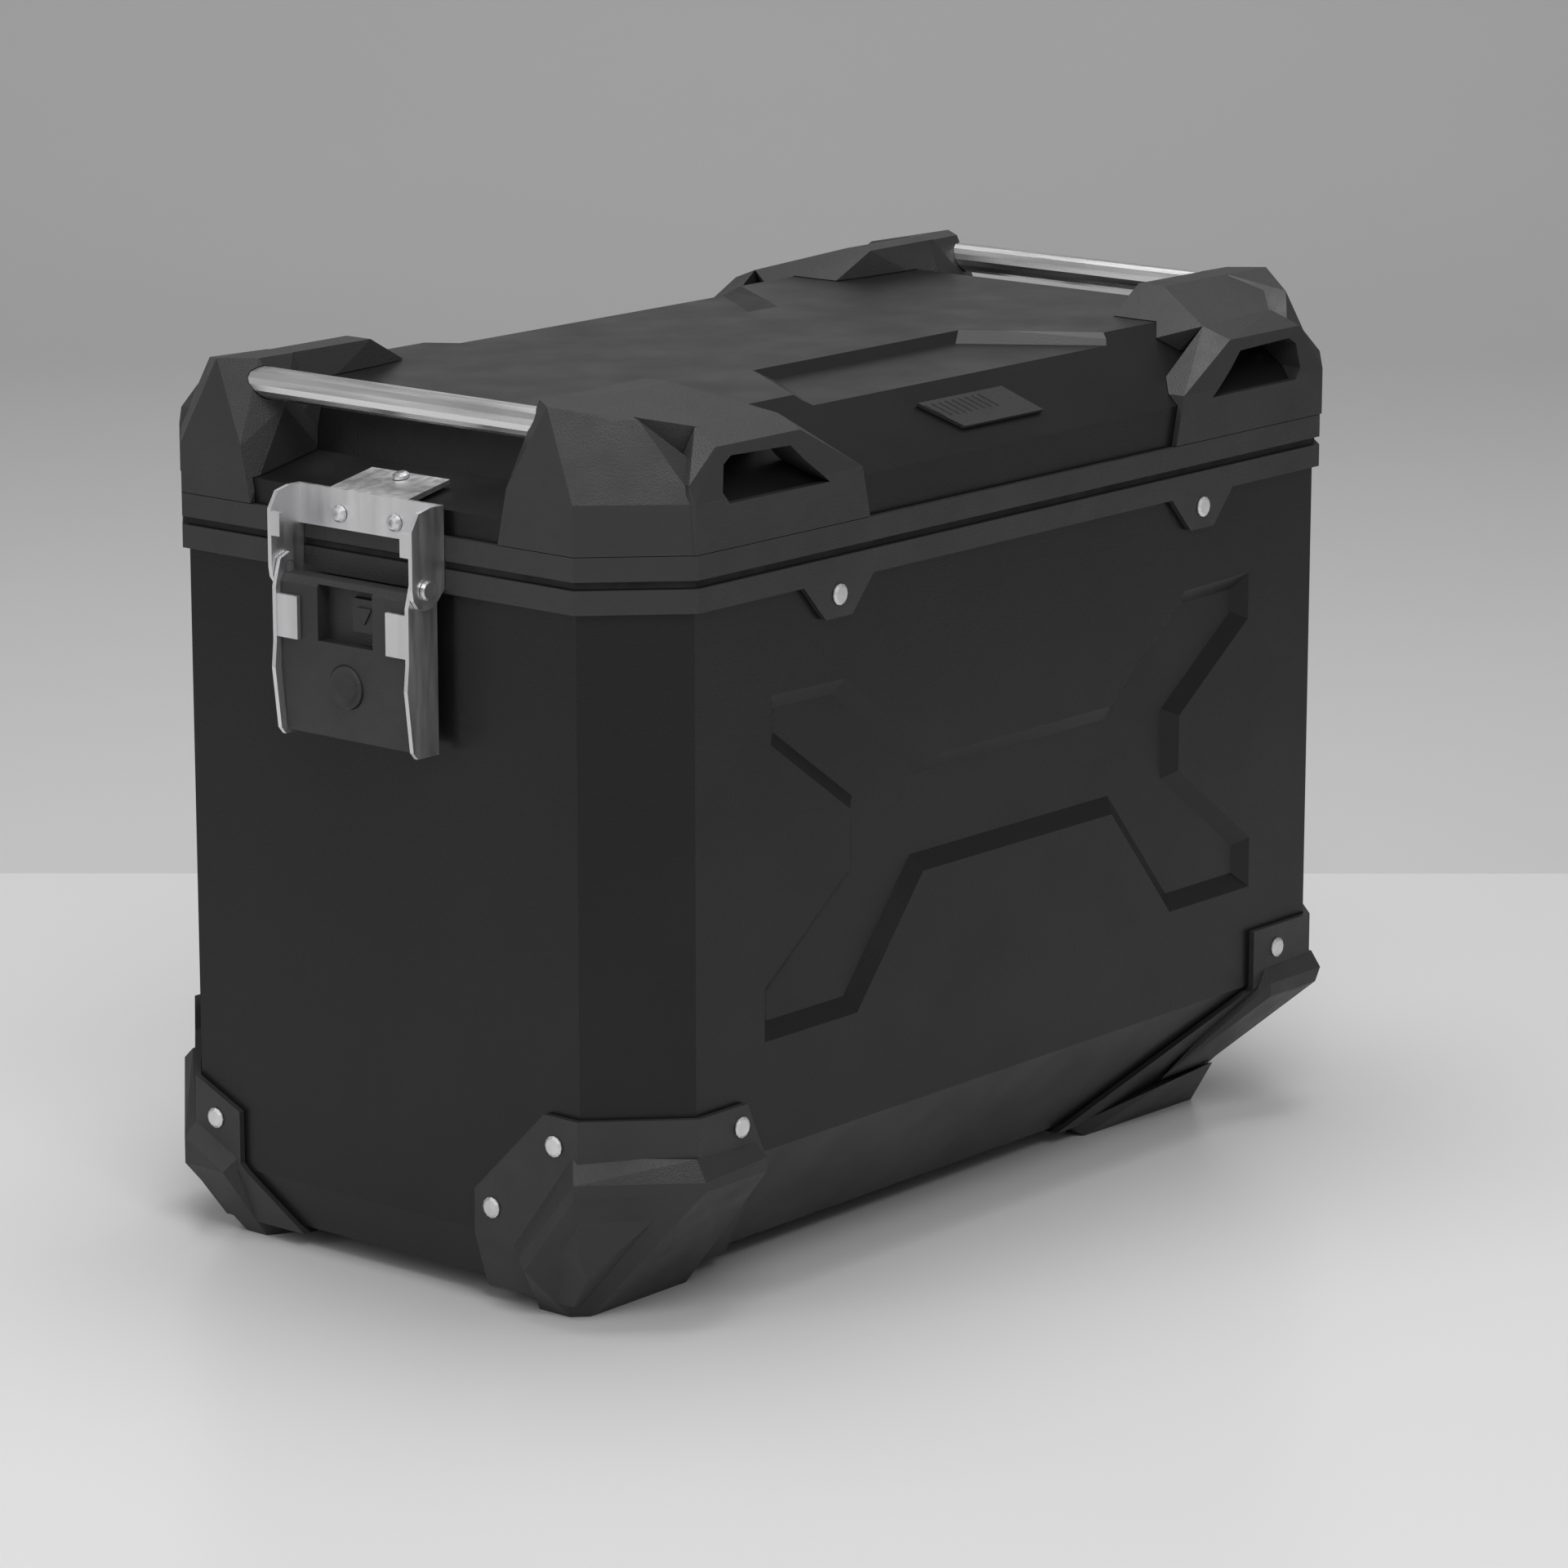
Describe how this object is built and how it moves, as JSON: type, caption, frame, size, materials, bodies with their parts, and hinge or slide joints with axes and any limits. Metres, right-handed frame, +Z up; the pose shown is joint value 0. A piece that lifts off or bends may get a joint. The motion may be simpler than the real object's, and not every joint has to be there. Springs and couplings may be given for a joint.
{
  "type": "motorcycle side case",
  "caption": "Black coated aluminium motorcycle side case with a hinged lid, draw latches with folding levers, carry bars and riveted corner guards.",
  "frame": {"origin": "middle of the overall footprint, on the floor under the foot soles", "axes": "+X along the case's length, towards the end opposite the near latch; -Y is the outer long face; +Z up"},
  "size_m": [0.5412, 0.302, 0.382],
  "materials": {
    "black_coated_aluminium": "satin powder coat",
    "black_grained_plastic": "fine grain",
    "seal_rubber": "matte",
    "brushed_bar": "satin",
    "satin_latch_steel": "satin",
    "pale_rivet": "matte"
  },
  "bodies": {
    "lid": {"badge_plate": "black_grained_plastic", "bracket_screw_left_back": "satin_latch_steel", "bracket_screw_left_front": "satin_latch_steel", "bracket_screw_left_top": "satin_latch_steel", "bracket_screw_right_back": "satin_latch_steel", "bracket_screw_right_front": "satin_latch_steel", "bracket_screw_right_top": "satin_latch_steel", "carry_bar_left": "brushed_bar", "carry_bar_right": "brushed_bar", "latch_bracket_left": "satin_latch_steel", "latch_bracket_right": "satin_latch_steel", "lid_collar": "black_grained_plastic", "lid_guard_back_left": "black_grained_plastic", "lid_guard_back_right": "black_grained_plastic", "lid_guard_front_left": "black_grained_plastic", "lid_guard_front_right": "black_grained_plastic", "lid_seal": "seal_rubber", "lid_shell": "black_coated_aluminium", "pivot_pin_left_back": "satin_latch_steel", "pivot_pin_left_front": "satin_latch_steel", "pivot_pin_right_back": "satin_latch_steel", "pivot_pin_right_front": "satin_latch_steel"},
    "case": {"body_collar": "black_grained_plastic", "body_shell": "black_coated_aluminium", "foot_back_left": "black_grained_plastic", "foot_back_right": "black_grained_plastic", "foot_front_left": "black_grained_plastic", "foot_front_right": "black_grained_plastic", "foot_rivet_back_left_end": "pale_rivet", "foot_rivet_back_left_side": "pale_rivet", "foot_rivet_back_right_end": "pale_rivet", "foot_rivet_back_right_side": "pale_rivet", "foot_rivet_front_left_lower": "pale_rivet", "foot_rivet_front_left_side": "pale_rivet", "foot_rivet_front_left_upper": "pale_rivet", "foot_rivet_front_right_end": "pale_rivet", "foot_rivet_front_right_side": "pale_rivet", "striker_left": "satin_latch_steel", "striker_right": "satin_latch_steel", "tab_rivet_back_left": "pale_rivet", "tab_rivet_back_right": "pale_rivet", "tab_rivet_front_left": "pale_rivet", "tab_rivet_front_right": "pale_rivet"},
    "lever_left": {"latch_hook_left": "satin_latch_steel", "lever_cover_left": "black_grained_plastic", "lever_frame_left": "satin_latch_steel", "lock_cap_left": "black_grained_plastic"},
    "lever_right": {"latch_hook_right": "satin_latch_steel", "lever_cover_right": "black_grained_plastic", "lever_frame_right": "satin_latch_steel", "lock_cap_right": "black_grained_plastic"},
    "button_left": {"release_button_left": "black_grained_plastic"},
    "button_right": {"release_button_right": "black_grained_plastic"}
  },
  "joints": [
    {"name": "lid_hinge", "type": "hinge", "parent": "case", "child": "lid", "pos_m": [0.261, 0, 0.303], "axis": [0, 1, 0], "range_deg": [0, 70]},
    {"name": "lever_left_hinge", "type": "hinge", "parent": "lid", "child": "lever_left", "pos_m": [-0.261, 0, 0.303], "axis": [0, 1, 0], "range_deg": [0, 40]},
    {"name": "lever_right_hinge", "type": "hinge", "parent": "case", "child": "lever_right", "pos_m": [0.261, 0, 0.303], "axis": [0, -1, 0], "range_deg": [0, 40]},
    {"name": "button_left_slide", "type": "slide", "parent": "lever_left", "child": "button_left", "axis": [1, 0, 0], "range_m": [0, 0.002], "stiffness_N_per_m": 200},
    {"name": "button_right_slide", "type": "slide", "parent": "lever_right", "child": "button_right", "axis": [-1, 0, 0], "range_m": [0, 0.002], "stiffness_N_per_m": 200}
  ]
}
